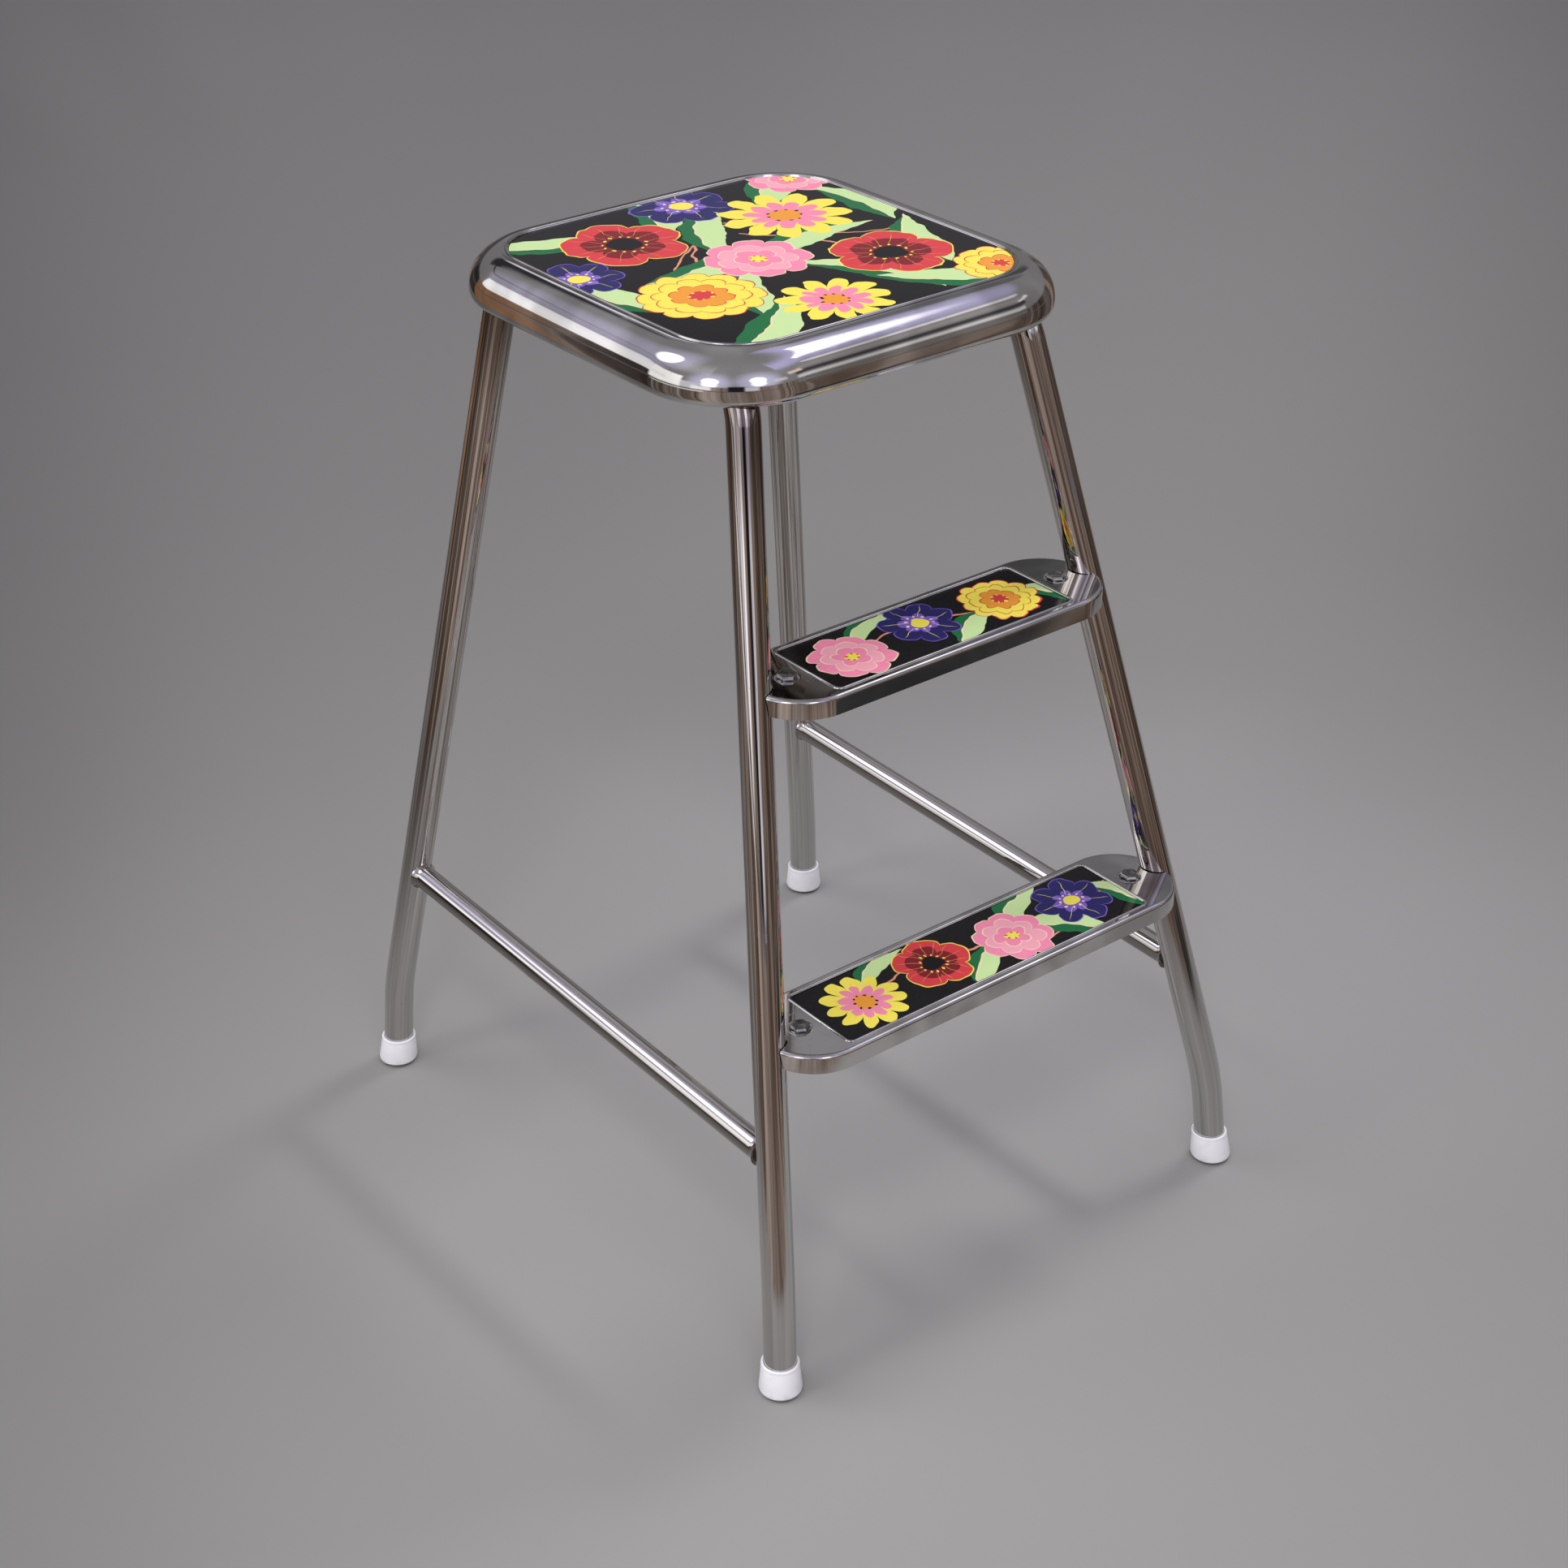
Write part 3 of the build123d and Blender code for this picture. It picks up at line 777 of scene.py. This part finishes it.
def tread_mesh(leg, top, deck_half_width):
    """A tray with a rolled edge, an open notch for each leg, a beaded deck and two dimples."""
    tray = bmesh.new()
    across = deck_half_width - tread_deck_corner
    back = tread_deck_half_depth - tread_deck_corner
    wall = -tread_deck_half_depth
    sunk = top - tread_deck_sink
    tip = [tray.verts.new((-across, wall - bead_off_deck - bead_radius, top))]
    tip = curl(tray, tip, (-across, wall - bead_off_deck, top), -math.pi, 8)
    tip = carry(tray, tip, (-across, wall - deck_nick, top))
    tip = carry(tray, tip, (-across, wall, top - deck_nick))
    tip = carry(tray, tip, (-across, wall, sunk))
    tip = carry(tray, tip, (-across, wall + tread_deck_corner / 2, sunk))
    corners = [(across, -back, 0), (across, back, 0), (-across, back, 0), (-across, -back, 0)]
    sweep_round(tray, corners, math.pi / 2, 12)
    inner = [edge for edge in tray.edges if edge.is_boundary and edge.verts[0].co.z < sunk + 1e-6]
    bmesh.ops.edgeloop_fill(tray, edges=inner)
    deck = set(tray.faces)

    end = leg.x + tread_past_leg - tread_half_depth
    side = -tread_half_depth
    tip = [tray.verts.new((-end, side, top - tread_skirt))]
    tip = carry(tray, tip, (-end, side, top - tread_round))
    tip = curl(tray, tip, (-end, side + tread_round, top - tread_round), -math.pi / 2, 8)
    tip = carry(tray, tip, (-end, side + tread_round + tread_lip, top))
    sweep_round(tray, [(end, 0, 0), (-end, 0, 0)], math.pi, 48)
    for beside_leg in (-notch_room, notch_room):
        band = [face for face in tray.faces if face not in deck]
        band_edges = {edge for face in band for edge in face.edges}
        band_verts = {spot for face in band for spot in face.verts}
        bmesh.ops.bisect_plane(
            tray,
            geom=list(band_verts) + list(band_edges) + band,
            dist=1e-7,
            plane_co=(0, beside_leg, top),
            plane_no=(0, -1, leg_lean.y),
        )
    in_notch = []
    for face in tray.faces:
        middle = face.calc_center_median()
        if face not in deck and abs(middle.y - leg_lean.y * (middle.z - top)) < notch_room:
            in_notch.append(face)
    bmesh.ops.delete(tray, geom=in_notch, context="FACES")

    for way in (-1, 1):
        corner = None
        for spot in tray.verts:
            on_top = abs(spot.co.z - top) < 1e-6 and abs(spot.co.y + notch_room) < 1e-5
            if on_top and way * spot.co.x > end:
                if corner is None or way * spot.co.x < way * corner.co.x:
                    corner = spot
        opening = math.pi - math.atan2(notch_room, way * corner.co.x - leg.x)
        bmesh.ops.spin(
            tray,
            geom=[corner],
            cent=(way * leg.x, 0, 0),
            axis=(0, 0, 1),
            angle=-2 * way * opening,
            steps=24,
        )
        bolt = way * (leg.x - bolt_from_leg)
        cup = [tray.verts.new((bolt + radius, 0, top - drop)) for radius, drop in dimple_section]
        cup_edges = [tray.edges.new(pair) for pair in zip(cup, cup[1:])]
        bmesh.ops.spin(
            tray,
            geom=cup + cup_edges,
            cent=(bolt, 0, 0),
            axis=(0, 0, 1),
            angle=2 * math.pi,
            steps=40,
            use_merge=True,
        )
    bmesh.ops.remove_doubles(tray, verts=tray.verts[:], dist=1e-5)
    rims = []
    for edge in tray.edges:
        level = all(abs(spot.co.z - top) < 1e-6 for spot in edge.verts)
        cut_end = all(abs(abs(spot.co.y) - notch_room) < 1e-5 for spot in edge.verts)
        if level and not cut_end and len(edge.link_faces) < 2:
            rims.append(edge)
    bmesh.ops.triangle_fill(tray, use_beauty=True, edges=rims, normal=(0, 0, 1))
    bmesh.ops.recalc_face_normals(tray, faces=tray.faces[:])
    bmesh.ops.solidify(tray, geom=tray.faces[:], thickness=tread_sheet)
    bmesh.ops.translate(tray, verts=tray.verts[:], vec=(0, leg.y, 0))
    return tray


tray_chrome = chrome_finish("tray_chrome", pressed_marks, 0.03)
for level, sizes in tread_levels.items():
    tray = tread_mesh(**sizes)
    tread = piece(
        f"{level}_tread_pressing", tray, tray_chrome, f"{level}_tread_tray", sharp=math.radians(40)
    )
    for side in ("left", "right"):
        dress(f"{level}_{side}_tread_lug", tray_chrome)


# Tread panels: strips of the same printed sheet as the seat's, lacquered and let into
# the sunk decks of the treads.
upper_print = printed_finish(
    "upper_tread_print",
    (0, -125.3, 0),
    stems=[(-30, 0, 10, 90, 6), (40, 4, 170, 90, 8)],
    leaves=[
        (-26, 18, 20, 54, 16, 6),
        (26, -18, 30, 56, 18, 6),
        (86, -14, 120, 50, 18, -6),
    ],
    blossoms=[(rosette, -58, -2, 10, 26), (anemone, 0, 6, 0, 25), (marigold, 58, 0, 20, 26)],
)
lower_print = printed_finish(
    "lower_tread_print",
    (0, -174.25, 0),
    stems=[(-60, 0, 10, 90, 6), (20, 4, 170, 90, 8), (80, -6, 20, 80, -6)],
    leaves=[
        (-56, 19, 20, 52, 16, 6),
        (2, -18, 30, 56, 18, 6),
        (60, -16, 140, 60, 22, -6),
        (56, 17, 30, 58, 20, 6),
        (114, -12, 110, 54, 20, -6),
    ],
    blossoms=[
        (daisy, -86, -2, 10, 27),
        (poppy, -28, 4, 0, 26),
        (rosette, 30, -4, 20, 26),
        (anemone, 86, 3, 20, 26),
    ],
)
dress("upper_tread_panel", upper_print)
dress("lower_tread_panel", lower_print)


# Tread bolts: plain dark steel hexagon bolts with dished heads. They sit down in the
# dimples and go through the tray and the tab below it into a nut.
bolt_flats = 0.010
bolt_head = 0.0040
bolt_chamfer = 0.0005
bolt_rim = 0.0006
bolt_dish = 0.0004
bolt_dish_slope = 0.0015
bolt_radius = 0.003
bolt_point = 0.0008
tab_sheet = 0.003
nut_height = 0.005
bolt_tail = 0.001
bolt_length = tread_sheet + tab_sheet + nut_height + bolt_tail
bolt_dark = (0.25, 0.244, 0.240, 1)
bolt_light = (0.37, 0.361, 0.354, 1)
bolt_steel, shader, place = new_finish("bolt_steel")
wear = noise(place, 500.0, detail=3.0)
feed(
    shader,
    Base_Color=wear.spread(0.4, 0.7).mix(bolt_dark, bolt_light),
    Roughness=0.11 + wear * 0.14,
    Normal=bump(wear, 0.1, 0.0002),
)
shader.inputs["Metallic"].default_value = 1.0
bolts = bmesh.new()


def level_of(face):
    return face.calc_center_median().z


for sizes in tread_levels.values():
    for way in (-1, 1):
        leg = sizes["leg"]
        dimple_bottom = sizes["top"] - dimple_section[-1][1]
        seat_of_head = Vector((way * (leg.x - bolt_from_leg), leg.y, dimple_bottom))
        head = bmesh.ops.create_cone(
            bolts,
            cap_ends=True,
            segments=6,
            radius1=bolt_flats / math.sqrt(3),
            radius2=bolt_flats / math.sqrt(3),
            depth=bolt_head,
            matrix=Matrix.Translation(seat_of_head + Vector((0, 0, bolt_head / 2))),
        )["verts"]
        top = max({face for spot in head for face in spot.link_faces}, key=level_of)
        edges = list(top.edges)
        bmesh.ops.bevel(
            bolts, geom=edges, offset=bolt_chamfer, segments=3, profile=0.5, affect="EDGES", material=-1
        )
        near = []
        for face in bolts.faces:
            if (face.calc_center_median() - seat_of_head).xy.length < bolt_flats:
                near.append(face)
        top = max(near, key=level_of)
        bmesh.ops.inset_region(bolts, faces=[top], thickness=bolt_rim, depth=0)
        bmesh.ops.inset_region(bolts, faces=[top], thickness=bolt_dish_slope, depth=-bolt_dish)
        bmesh.ops.create_cone(
            bolts,
            cap_ends=True,
            segments=24,
            radius1=bolt_radius * 0.85,
            radius2=bolt_radius,
            depth=bolt_point,
            matrix=Matrix.Translation(seat_of_head - Vector((0, 0, bolt_length - bolt_point / 2))),
        )
        bmesh.ops.create_cone(
            bolts,
            cap_ends=True,
            segments=24,
            radius1=bolt_radius,
            radius2=bolt_radius,
            depth=bolt_length - bolt_point,
            matrix=Matrix.Translation(seat_of_head - Vector((0, 0, (bolt_length - bolt_point) / 2))),
        )
bolt_heads = piece("tread_bolt_heads", bolts, bolt_steel, "tread_bolts", sharp=math.radians(25))


# Floor, light and camera: a pale floor paper under a soft ceiling with a few lamps, and
# round it a brown room for the plating to mirror. The room is in the world, where it also
# lights the stool, and on a card over the far floor that only reflections see.
floor_half = 12.0
camera_at = Vector((-0.95212, -1.20127, 1.13347))
camera_aim = Vector((0.53631, 0.68178, -0.49755))
camera_roll = math.radians(-0.275)
paper_middle = (-0.20, -0.10, 0)
floor = bmesh.new()
bmesh.ops.create_grid(floor, x_segments=1, y_segments=1, size=floor_half)
floor_paper, shader, place = new_finish("floor_paper")
# Painted light on the paper: its colour is palest near a middle by the stool and darker further out, with
# a little random tone.
far = place.vector("DISTANCE", place, paper_middle, output="Value")
paper = place.node(
    "ShaderNodeValToRGB",
    {
        "stops": [
            (0.05, (0.350, 0.346, 0.327, 1)),
            (0.17, (0.302, 0.298, 0.281, 1)),
            (0.25, (0.276, 0.272, 0.257, 1)),
            (0.33, (0.262, 0.258, 0.243, 1)),
            (0.43, (0.254, 0.250, 0.236, 1)),
            (0.60, (0.258, 0.254, 0.239, 1)),
            (1.0, (0.294, 0.288, 0.271, 1)),
        ]
    },
    {"Fac": far / 3.0 + noise(place, 3.0) * 0.02 - 0.01},
)
# The paper's colour holds painted light: it is palest under the stool, a painted pool of light, and has
# painted shade to both sides and at the back left. The sides lie off a fixed wedge of the paper, which
# is laid out from the point under the camera.
under_camera = (-0.95, -1.20, 0)
camera_heading = (0.618, 0.786, 0)
under = place.vector("DISTANCE", place, (0.26, 0.02, 0), output="Value")
paper = (under.spread(0.55, 0.15) * 0.55).mix(paper, (0.370, 0.366, 0.354, 1))
aside = place.vector("DISTANCE", place, (0.10, -0.35, 0), output="Value")
back_left = place.vector("DOT_PRODUCT", place, (-0.7, 0.7, 0), output="Value")
in_front = place.vector("NORMALIZE", place.vector("SUBTRACT", place, under_camera))
ahead = place.vector("DOT_PRODUCT", in_front, camera_heading, output="Value")
painted_floor_shade = ahead.spread(0.990, 0.945) * aside.spread(0.5, 1.2) * 0.26 + back_left.spread(0.1, 0.45) * 0.07
feed(shader, Base_Color=painted_floor_shade.mix(paper, (0, 0, 0, 1)))
shader.inputs["Roughness"].default_value = 0.9
shader.inputs["Specular IOR Level"].default_value = 0.1


def stage_piece(name, shape, material):
    """Link a piece of the studio, which isn't part of the stool."""
    mesh = bpy.data.meshes.new(name)
    shape.to_mesh(mesh)
    shape.free()
    mesh.materials.append(material)
    made = bpy.data.objects.new(name, mesh)
    bpy.context.scene.collection.objects.link(made)
    return made


stage_piece("floor", floor, floor_paper)


def toward(plan, heading, half):
    """1 within some degrees of a compass heading, where 0 is the back and 90 the right."""
    turn = math.radians(heading)
    facing = plan.vector("DOT_PRODUCT", plan, (math.sin(turn), math.cos(turn), 0), output="Value")
    return facing.spread(math.cos(math.radians(half + 4)), math.cos(math.radians(half)))


def room_tones(plan):
    """Furniture, doors and boards of a room, seen as upright stripes of brown, grey, dark and pale."""
    stripes = plan.node(
        "ShaderNodeTexNoise", inputs={"Vector": plan, "Scale": 2.6, "Detail": 5.0, "Roughness": 0.62}
    )
    tones = plan.node(
        "ShaderNodeValToRGB",
        {
            "stops": [
                (0.35, (0.014, 0.010, 0.009, 1)),
                (0.41, (0.130, 0.085, 0.062, 1)),
                (0.46, (0.360, 0.300, 0.275, 1)),
                (0.505, (0.170, 0.110, 0.080, 1)),
                (0.56, (0.030, 0.022, 0.019, 1)),
                (0.64, (0.760, 0.680, 0.620, 1)),
            ]
        },
        {"Fac": stripes},
    )
    for heading, half, strength, colour in (
        (-166, 18, 0.5, (0.250, 0.190, 0.165, 1)),
        (-140, 10, 0.5, (0.255, 0.210, 0.190, 1)),
        (-116, 8, 0.6, (0.500, 0.420, 0.385, 1)),
        (-76, 24, 0.5, (0.155, 0.125, 0.110, 1)),
        (-46, 5, 0.9, (0.040, 0.030, 0.027, 1)),
        (-24, 11, 0.9, (0.290, 0.145, 0.072, 1)),
        (-3, 7, 0.9, (0.022, 0.022, 0.023, 1)),
        (38, 16, 0.8, (0.190, 0.185, 0.190, 1)),
        (60, 5, 0.8, (0.075, 0.063, 0.060, 1)),
        (92, 8, 0.7, (0.060, 0.052, 0.048, 1)),
        (126, 14, 0.5, (0.100, 0.078, 0.068, 1)),
        (152, 13, 0.5, (0.180, 0.135, 0.110, 1)),
    ):
        tones = (toward(plan, heading, half) * strength).mix(tones, colour)
    return tones


def outward(place):
    """Heading on the floor plan, whatever the distance."""
    return place.vector("NORMALIZE", place.vector("MULTIPLY", place, (1, 1, 0)))


room_floor, shader, place = new_finish("room_floor")
wide = place.vector("MULTIPLY", place, (1.25, 1, 1))
off_paper = place.vector("DISTANCE", wide, (0.43, 0.85, 0), output="Value")
plan = outward(place)
paper_edge = toward(plan, 150, 9) * off_paper.spread(1.95, 1.75)
doorway = toward(plan, -80, 28) * off_paper.spread(6.0, 7.5)
lit = doorway.mix(room_tones(plan), (0.95, 0.92, 0.93, 1))
feed(
    shader,
    Emission_Color=paper_edge.mix(lit, (0.040, 0.040, 0.042, 1)),
    Alpha=off_paper.spread(1.38, 1.60),
)
shader.inputs["Emission Strength"].default_value = 1.0
shader.inputs["Base Color"].default_value = (0, 0, 0, 1)
shader.inputs["Specular IOR Level"].default_value = 0.0
ring = bmesh.new()
off_floor = Matrix.Translation((0, 0, 0.002))
bmesh.ops.create_circle(ring, segments=64, radius=8.0, cap_ends=True, matrix=off_floor)
room = stage_piece("room_floor", ring, room_floor)
room.visible_camera = False
room.visible_diffuse = False
room.visible_shadow = False

world = bpy.data.worlds.new("studio")
bpy.context.scene.world = world
world.use_nodes = True
sky = Wire(world.node_tree)
aim = sky.node("ShaderNodeTexCoord", output="Generated")
rise = aim.parts().out("Z")
plan = outward(aim)
tone = sky.node(
    "ShaderNodeValToRGB",
    {
        "stops": [
            (0.0, (0.22, 0.215, 0.225, 1)),
            (0.50, (0.28, 0.272, 0.290, 1)),
            (0.70, (0.325, 0.315, 0.335, 1)),
            (0.88, (0.295, 0.285, 0.300, 1)),
            (1.0, (0.265, 0.255, 0.265, 1)),
        ]
    },
    {"Fac": rise},
)


def wall_patch(tone, heading, half, low, high, colour, soft=0.02):
    """A wall, window or doorway on a compass heading, between two rises (the sine of the angle up)."""
    upright = rise.spread(low - soft, low + soft) * rise.spread(high + soft, high - soft)
    return (toward(plan, heading, half) * upright).mix(tone, colour)


def lamp_glow(tone, heading, elevation, radius):
    """A round lamp with a faint cool halo, as it is mirrored in the plating."""
    turn, up = math.radians(heading), math.radians(elevation)
    at = (math.sin(turn) * math.cos(up), math.cos(turn) * math.cos(up), math.sin(up))
    facing = aim.vector("DOT_PRODUCT", aim, at, output="Value")
    halo = facing.spread(math.cos(math.radians(radius + 20)), math.cos(math.radians(radius - 2)))
    core = facing.spread(math.cos(math.radians(radius + 2)), math.cos(math.radians(radius - 3)))
    return core.mix((halo * 0.5).mix(tone, (0.85, 0.82, 1.15, 1)), (2.6, 2.55, 2.7, 1))


for patch in (
    (-80, 30, 0.62, 0.86, (0.46, 0.45, 0.48, 1), 0.10),
    (-46, 21, 0.15, 0.41, (1.30, 1.28, 1.32, 1)),
    (-30, 34, 0.515, 0.535, (0.03, 0.03, 0.03, 1), 0.008),
    (14, 8, 0.42, 0.58, (0.04, 0.04, 0.047, 1), 0.03),
    (42, 12, 0.36, 0.47, (0.09, 0.09, 0.095, 1), 0.04),
    (54, 6, 0.50, 0.70, (0.17, 0.17, 0.19, 1), 0.05),
    (29, 2.5, 0.45, 0.49, (1.10, 1.08, 1.20, 1)),
    (108, 58, 0.72, 0.90, (0.55, 0.52, 0.80, 1), 0.06),
    (94, 25, 0.785, 0.83, (2.1, 2.05, 2.2, 1)),
    (121, 9, 0.655, 0.695, (0.95, 0.92, 0.98, 1)),
    (118, 6, 0.47, 0.55, (1.00, 0.96, 1.05, 1), 0.03),
    (131, 12, 0.53, 0.61, (0.38, 0.35, 0.35, 1), 0.04),
    (137, 14, 0.36, 0.47, (0.07, 0.065, 0.07, 1), 0.03),
    (152, 6, 0.45, 0.55, (0.92, 0.72, 0.64, 1), 0.03),
    (172, 5, 0.28, 0.40, (0.68, 0.60, 0.56, 1), 0.03),
):
    tone = wall_patch(tone, *patch)
for mirrored_lamp in (
    (-39, 46.5, 12),
    (-115, 14, 8),
    (-115, 23, 8),
    (-165, 18, 7.5),
    (-165, 27, 7.5),
):
    tone = lamp_glow(tone, *mirrored_lamp)
tone = rise.spread(0.11, 0.19).mix(room_tones(plan), tone)
for patch in (
    (-92, 10, -0.02, 0.26, (0.80, 0.77, 0.84, 1), 0.03),
    (-66, 17, -0.02, 0.42, (1.45, 1.42, 1.43, 1), 0.03),
    (-46, 20, 0.14, 0.24, (1.25, 1.23, 1.27, 1)),
    (14, 22, -0.02, 0.18, (0.085, 0.080, 0.085, 1), 0.03),
    (-4, 8, -0.02, 0.14, (0.028, 0.028, 0.030, 1), 0.03),
    (140, 11, 0.20, 0.31, (0.72, 0.70, 0.72, 1), 0.03),
    (142, 12, 0.02, 0.13, (0.20, 0.19, 0.19, 1)),
    (-107, 8, -0.02, 0.14, (1.15, 1.12, 1.20, 1), 0.03),
    (-157, 5, -0.02, 0.16, (0.75, 0.72, 0.80, 1), 0.03),
    (-142, 6, -0.05, 0.20, (0.02, 0.019, 0.02, 1), 0.03),
):
    tone = wall_patch(tone, *patch)
backdrop = world.node_tree.nodes["Background"]
world.node_tree.links.new(tone.socket, backdrop.inputs["Color"])
backdrop.inputs["Strength"].default_value = 1.0

for name, at, size, power in (
    ("window", (1.6, 0.2, 2.4), (0.7, 0.3), 18),
    ("lamp_left", (-1.5, 0.3, 2.2), (0.5, 0.3), 6),
    ("lamp_front", (-1.2, -1.2, 2.2), (0.5, 0.36), 10),
    ("soft_front", (-1.6, -2.4, 1.6), (1.6, 1.2), 19),
    ("soft_top", (0.0, 0.0, 3.0), (2.5, 2.5), 12),
):
    lamp = bpy.data.lights.new(name, "AREA")
    lamp.shape = "ELLIPSE"
    lamp.size, lamp.size_y = size
    lamp.energy = power
    light = bpy.data.objects.new(name, lamp)
    light.location = at
    light.rotation_mode = "QUATERNION"
    light.rotation_quaternion = (Vector((0, 0, 0.3)) - Vector(at)).to_track_quat("-Z", "Y")
    light.visible_glossy = False
    bpy.context.scene.collection.objects.link(light)

lens = bpy.data.cameras.new("camera")
lens.lens = 63.15
lens.sensor_width = 36.0
camera = bpy.data.objects.new("camera", lens)
camera.location = camera_at
camera.rotation_mode = "QUATERNION"
looking = camera_aim.to_track_quat("-Z", "Y")
camera.rotation_quaternion = looking @ Matrix.Rotation(camera_roll, 3, "Z").to_quaternion()
bpy.context.scene.collection.objects.link(camera)
bpy.context.scene.camera = camera
bpy.context.scene.view_settings.view_transform = "Standard"
